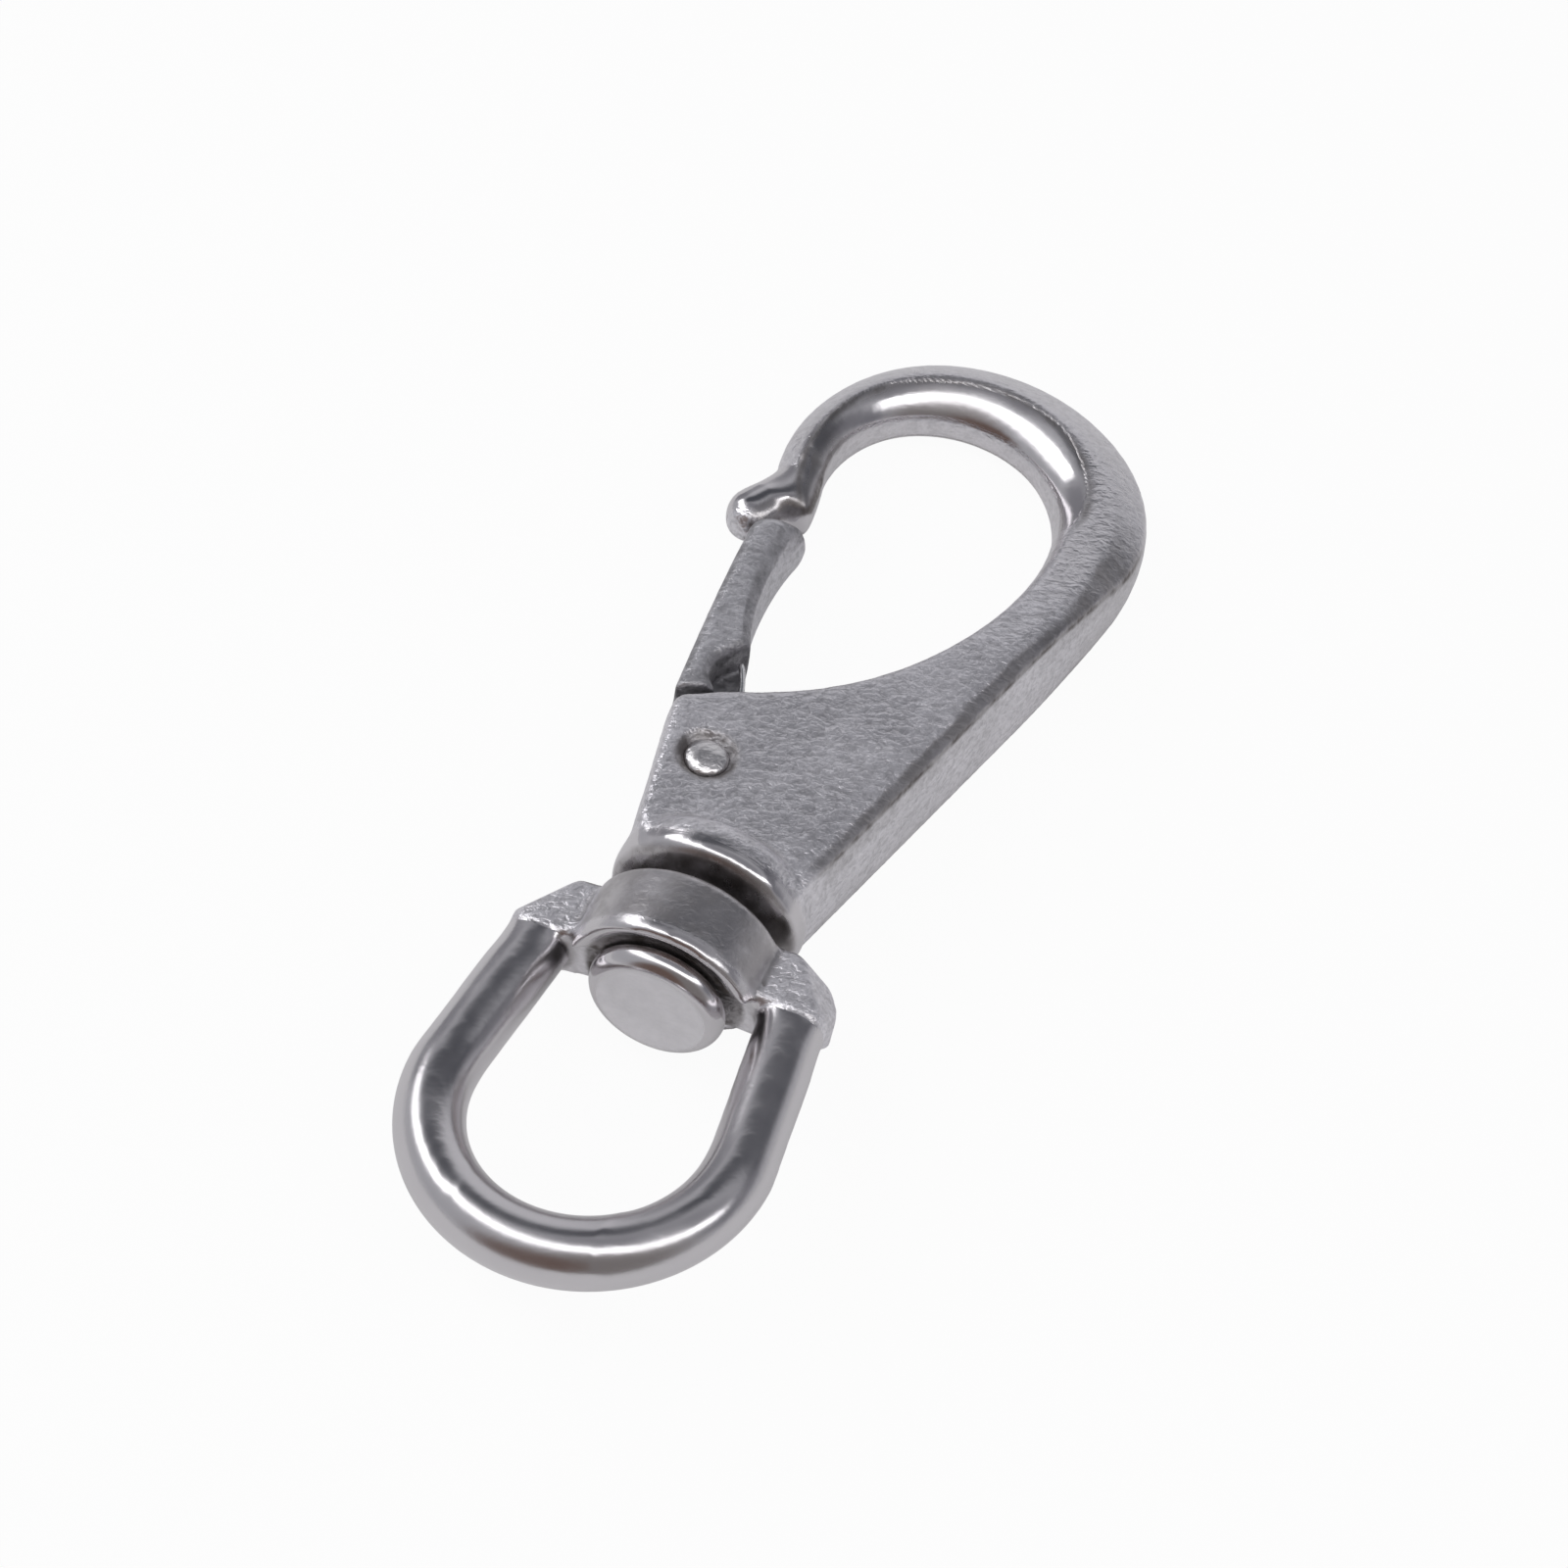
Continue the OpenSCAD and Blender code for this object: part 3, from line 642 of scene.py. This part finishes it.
class SNAPHOOK_OT_swivel_pin(bpy.types.Operator):
    """Turns the swivel pin and its button"""
    bl_idname = "snaphook.swivel_pin"
    bl_label = "Swivel pin"

    def execute(self, context):
        s = context.scene.snaphook_pins
        casting = context.scene.snaphook_casting
        radius = s.head_diameter / 2 / MM
        profile = [(SHANK_END, 0), (SHANK_END, SHANK_RADIUS), (BUTTON_BACK, SHANK_RADIUS),
                   (BUTTON_BACK, radius), (BUTTON_FACE, radius), (BUTTON_FACE, 0)]
        rounds = [(BUTTON_FACE, radius, s.head_round / MM),
                  (BUTTON_BACK, radius, BUTTON_BACK_ROUND)]
        obj = turned("swivel_button", profile, rounds, HOOK_PLACE)
        _, normal = arrays(obj)
        facing = -(normal @ np.array(SWIVEL_AXIS))
        set_mask(obj, "polish", fall(facing, 0.97, 0.995))
        finish = steel("turned steel", BUTTON_MATT, casting.bright_colour, casting.painted_shade_colour,
                       matt_rough=0.40, bright_rough=0.14, ripple=0.05, grain=0.12)
        dress(obj, finish, "hook", "swivel_pin")
        return {"FINISHED"}


GATE_CELL = 0.2 * MM
GATE_EDGE_SHARE = 0.4


def mark_gate(obj):
    """Masks of the gate's rubbed edges, its polish and its painted shade."""
    mark_edges(obj, scale=GATE_EDGE_SHARE)
    co, normal = arrays(obj)
    p = hook_coordinates(co)
    up = np.abs(normal @ np.array(GATE_AXIS))
    # Painted shade in the notch where the spring lies.
    notch = fall(np.abs(p[:, 2]), 3.2, 3.9) * fall(p[:, 0], 28, 30)
    # Painted shade at the gate's root, by its pivot.
    root = fall(p[:, 0], 22.6, 23.6)
    # Painted dark reflection along the bevel of the inner side.
    bevel = rise(up, 0.25, 0.45) * fall(up, 0.85, 0.95)
    set_mask(obj, "painted_shade", np.maximum.reduce([0.8 * notch, 0.4 * root, 0.42 * bevel]))
    set_mask(obj, "polish", 0.5 * notch)


class SNAPHOOK_OT_gate(bpy.types.Operator):
    """Casts the gate"""
    bl_idname = "snaphook.gate"
    bl_label = "Gate"

    def execute(self, context):
        s = context.scene.snaphook_casting
        obj = copy_node("gate_casting", "gate")
        cast_skin(obj, GATE_CELL, s.skin_passes)
        mark_gate(obj)
        finish = steel("gate steel", GATE_MATT, s.bright_colour, GATE_PAINTED_SHADE,
                       matt_rough=0.42, bright_rough=0.20, ripple=0.9, grain=1.0)
        dress(obj, finish, "gate", "gate")
        return {"FINISHED"}


# The rivet: where its dome starts and ends from the middle, and its shank's radius.
DOME_RIM, DOME_TOP, RIVET_RADIUS = 5.2, 6.1, 1.95
RIVET_STEPS = 32


def round_off(obj, levels):
    smooth = obj.modifiers.new("round", "SUBSURF")
    smooth.levels = levels
    smooth.render_levels = levels
    apply_modifiers(obj)


class SNAPHOOK_OT_gate_pin(bpy.types.Operator):
    """Makes the gate's riveted pin"""
    bl_idname = "snaphook.gate_pin"
    bl_label = "Gate pin"

    def execute(self, context):
        s = context.scene.snaphook_casting
        dome = [(DOME_RIM, 1.6), (DOME_RIM, RIVET_RADIUS), (DOME_RIM + 0.35, RIVET_RADIUS),
                (DOME_TOP - 0.15, 1.3), (DOME_TOP, 0.5), (DOME_TOP, 0)]
        profile = [(-x, r) for x, r in reversed(dome)] + dome
        turn = GATE_AXIS.to_track_quat("X", "Y").to_matrix().to_4x4()
        obj = turned("gate_rivet", profile, [], Matrix.Translation(GATE_CENTRE) @ turn, RIVET_STEPS)
        round_off(obj, 2)
        finish = steel("rivet steel", s.matt_colour, RIVET_BRIGHT, s.painted_shade_colour,
                       matt_rough=0.36, bright_rough=0.24, ripple=1.5, grain=0.5, polish=0.6)
        dress(obj, finish, "hook", "gate_pin")
        return {"FINISHED"}


class SNAPHOOK_OT_gate_spring(bpy.types.Operator):
    """Winds the gate's torsion spring"""
    bl_idname = "snaphook.gate_spring"
    bl_label = "Gate spring"

    def execute(self, context):
        s = context.scene.snaphook_casting
        obj = copy_node("gate_spring_wire", "gate_spring")
        round_off(obj, 1)
        finish = steel("spring wire", s.matt_colour, SPRING_BRIGHT, s.painted_shade_colour,
                       matt_rough=0.3, bright_rough=0.12, ripple=0.2, grain=0.4, polish=0.9)
        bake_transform(obj)
        dress(obj, finish, None, "gate_spring")
        return {"FINISHED"}


# ---- Stage ----

FLOOR_HALF = 2.0
FLOOR_COLOUR = (0.9, 0.9, 0.9, 1)
FLOOR_SEEN, FLOOR_IN_GLOSS = 0.95, 0.18
WHITE = (1, 1, 1, 1)

CAMERA_PLACE = Vector((-159.28, -52.05, 303.84)) * MM
CAMERA_TURN = [math.radians(a) for a in (33.2688, -5.7530, -66.8087)]
SENSOR_WIDTH = 36

# The long top light: what it is aimed at, how far off it is, the directions of its bends and its
# widths between them. Each stretch is made of a few straight steps.
LIGHT_AIM = Vector((0.032, 0, 0))
LIGHT_DISTANCE = 0.6
LIGHT_BENDS = ((0.40, 0.80, 0.44), (0.20, 0.80, 0.57), (-0.10, 0.65, 0.75), (-0.31, 0.30, 0.90),
               (-0.34, -0.12, 0.93), (-0.31, -0.46, 0.83), (-0.09, -0.74, 0.66), (0.10, -0.80, 0.59))
LIGHT_WIDTHS = (0.18, 0.20, 0.20, 0.16, 0.15, 0.15, 0.13)
LIGHT_STEPS = 3

# The open sky near the floor and above it.
SKY_LOW, SKY_HIGH, SKY_TURN = (0.5, 0.5, 0.52, 1), (0.44, 0.445, 0.465, 1), 0.25

# Soft patches of the sky: direction, inner and outer angle, colour.
PATCHES = (
    ((-0.82, -0.40, 0.36), 25, 62, (0.22, 0.205, 0.20, 1)),
    ((0.92, 0.13, 0.37), 10, 29, (0.62, 0.62, 0.64, 1)),
    ((0.62, 0.76, 0.22), 8, 24, (0.24, 0.24, 0.26, 1)),
    ((-0.94, 0.15, 0.31), 16, 36, (0.15, 0.105, 0.09, 1)),
)

# Soft bands of the sky: two ends, inner and outer half width, colour.
BANDS = (
    ((0.12, -0.58, 0.80), (0.08, 0.25, 0.96), 7, 20, (0.25, 0.25, 0.27, 1)),
    ((0, -0.95, 0.31), (0.64, -0.58, 0.50), 6, 18, (0.19, 0.19, 0.21, 1)),
    ((0.65, -0.58, 0.50), (0.40, 0.50, 0.77), 6, 17, (0.075, 0.078, 0.09, 1)),
)
BAND_FADE = 14


def smooth_path(points, steps):
    """A smooth curve through the points, in short straight steps (Catmull-Rom)."""
    p = np.array(points, float)
    p = np.vstack([2 * p[0] - p[1], p, 2 * p[-1] - p[-2]])
    path = []
    for a, b, c, d in zip(p, p[1:], p[2:], p[3:]):
        for t in np.arange(steps) / steps:
            path.append(0.5 * (2 * b + (c - a) * t + (2 * a - 5 * b + 4 * c - d) * t ** 2
                               + (3 * b - a - 3 * c + d) * t ** 3))
    return path + [p[-2]]


def strip_light(end_a, end_b, width, radiance):
    """A soft light seen from the hook between two directions."""
    ends = [LIGHT_AIM + Vector(d).normalized() * LIGHT_DISTANCE for d in (end_a, end_b)]
    lamp = bpy.data.lights.new("top light", "AREA")
    lamp.shape = "RECTANGLE"
    lamp.size = (ends[1] - ends[0]).length
    lamp.size_y = width
    lamp.energy = radiance * math.pi * lamp.size * width
    obj = link_new("top light", lamp)
    obj.location = (ends[0] + ends[1]) / 2
    x = (ends[1] - ends[0]).normalized()
    z = (obj.location - LIGHT_AIM).normalized()
    z = (z - x * z.dot(x)).normalized()
    obj.rotation_euler = Matrix((x, z.cross(x), z)).transposed().to_euler()


def top_light(radiance):
    """The long bent light above the hook."""
    bends = smooth_path(LIGHT_BENDS, LIGHT_STEPS)
    mids = (np.arange(len(bends) - 1) + 0.5) / LIGHT_STEPS
    widths = np.interp(mids, np.arange(len(LIGHT_WIDTHS)) + 0.5, LIGHT_WIDTHS)
    for bend, next_bend, width in zip(bends, bends[1:], widths):
        strip_light(bend, next_bend, width, radiance)


def seen_directly(tree):
    """A mask of what the camera sees, straight or through glass, and the light path's outputs."""
    ray = add(tree, "ShaderNodeLightPath").outputs
    return maths(tree, "MAXIMUM", ray["Is Camera Ray"], ray["Is Transmission Ray"]), ray


class SNAPHOOK_OT_stage(bpy.types.Operator):
    """Sets the floor, lights and camera"""
    bl_idname = "snaphook.stage"
    bl_label = "Stage"

    def floor(self):
        bm = bmesh.new()
        bmesh.ops.create_grid(bm, x_segments=1, y_segments=1, size=FLOOR_HALF)
        bmesh.ops.translate(bm, verts=bm.verts, vec=(0, 0, cad_bounds[0][2]))
        mesh = bpy.data.meshes.new("floor")
        bm.to_mesh(mesh)
        bm.free()
        obj = link_new("floor", mesh)
        material = bpy.data.materials.new("pale floor")
        material.use_nodes = True
        tree = material.node_tree
        tree.nodes.remove(tree.nodes["Principled BSDF"])
        lit = add(tree, "ShaderNodeBsdfDiffuse", {"Color": FLOOR_COLOUR})
        glow = add(tree, "ShaderNodeEmission", {"Color": WHITE, "Strength": 1.0})
        seen, ray = seen_directly(tree)
        seen = maths(tree, "MAXIMUM", maths(tree, "MULTIPLY", seen, FLOOR_SEEN),
                     maths(tree, "MULTIPLY", ray["Is Glossy Ray"], FLOOR_IN_GLOSS))
        mixed = add(tree, "ShaderNodeMixShader", {0: seen, 1: lit.outputs[0], 2: glow.outputs[0]})
        tree.links.new(mixed.outputs[0], tree.nodes["Material Output"].inputs["Surface"])
        mesh.materials.append(material)

    def sky(self, scene):
        world = bpy.data.worlds.new("studio")
        scene.world = world
        world.use_nodes = True
        tree = world.node_tree
        background = tree.nodes["Background"]
        facing = add(tree, "ShaderNodeTexCoord").outputs["Generated"]
        level = add(tree, "ShaderNodeSeparateXYZ", {0: facing}).outputs["Z"]
        sky = blend_colour(tree, remap(tree, level, 0.0, SKY_TURN), SKY_LOW, SKY_HIGH)

        def along(direction):
            unit = tuple(Vector(direction).normalized())
            return add(tree, "ShaderNodeVectorMath", {0: facing, 1: unit},
                       operation="DOT_PRODUCT").outputs["Value"]

        def towards(direction, inner, outer):
            return remap(tree, along(direction), math.cos(math.radians(outer)),
                         math.cos(math.radians(inner)))

        for direction, inner, outer, colour in PATCHES:
            sky = blend_colour(tree, towards(direction, inner, outer), sky, colour)
        for end_a, end_b, inner, outer, colour in BANDS:
            a, b = Vector(end_a).normalized(), Vector(end_b).normalized()
            half = math.degrees(a.angle(b)) / 2
            off = maths(tree, "ABSOLUTE", along(a.cross(b)))
            across = remap(tree, off, math.sin(math.radians(outer)), math.sin(math.radians(inner)))
            band = maths(tree, "MULTIPLY", across, towards(a + b, half, half + BAND_FADE))
            sky = blend_colour(tree, band, sky, colour)
        seen, _ = seen_directly(tree)
        tree.links.new(blend_colour(tree, seen, sky, WHITE), background.inputs["Color"])

    def camera(self, scene, lens):
        data = bpy.data.cameras.new("camera")
        data.sensor_width = SENSOR_WIDTH
        data.lens = lens
        camera = link_new("camera", data)
        camera.location = CAMERA_PLACE
        camera.rotation_euler = CAMERA_TURN
        scene.camera = camera

    def execute(self, context):
        s = context.scene.snaphook_stage
        self.floor()
        self.sky(context.scene)
        top_light(s.light_level)
        self.camera(context.scene, s.lens)
        context.scene.view_settings.view_transform = "Standard"
        return {"FINISHED"}


class SNAPHOOK_PT_panel(bpy.types.Panel):
    """Lists the pieces of the snap hook"""
    bl_idname = "SNAPHOOK_PT_panel"
    bl_label = "Swivel snap hook"
    bl_space_type = "VIEW_3D"
    bl_region_type = "UI"
    bl_category = "Snap hook"

    def draw(self, context):
        for group in ("snaphook_casting", "snaphook_pins", "snaphook_stage"):
            settings = getattr(context.scene, group)
            box = self.layout.box()
            for name in settings.__annotations__:
                box.prop(settings, name)
        for operator in OPERATORS:
            self.layout.operator(operator.bl_idname)


OPERATORS = (
    SNAPHOOK_OT_hook_body,
    SNAPHOOK_OT_swivel_eye,
    SNAPHOOK_OT_swivel_pin,
    SNAPHOOK_OT_gate,
    SNAPHOOK_OT_gate_pin,
    SNAPHOOK_OT_gate_spring,
    SNAPHOOK_OT_stage,
)
CLASSES = (CastingSettings, PinSettings, StageSettings, *OPERATORS, SNAPHOOK_PT_panel)


def register():
    for cls in CLASSES:
        bpy.utils.register_class(cls)
    bpy.types.Scene.snaphook_casting = PointerProperty(type=CastingSettings)
    bpy.types.Scene.snaphook_pins = PointerProperty(type=PinSettings)
    bpy.types.Scene.snaphook_stage = PointerProperty(type=StageSettings)


def unregister():
    for name in ("snaphook_casting", "snaphook_pins", "snaphook_stage"):
        delattr(bpy.types.Scene, name)
    for cls in reversed(CLASSES):
        bpy.utils.unregister_class(cls)


def main():
    register()
    bpy.ops.snaphook.hook_body()
    bpy.ops.snaphook.swivel_eye()
    bpy.ops.snaphook.swivel_pin()
    bpy.ops.snaphook.gate()
    bpy.ops.snaphook.gate_pin()
    bpy.ops.snaphook.gate_spring()
    bpy.ops.snaphook.stage()


if __name__ == "__main__":
    main()
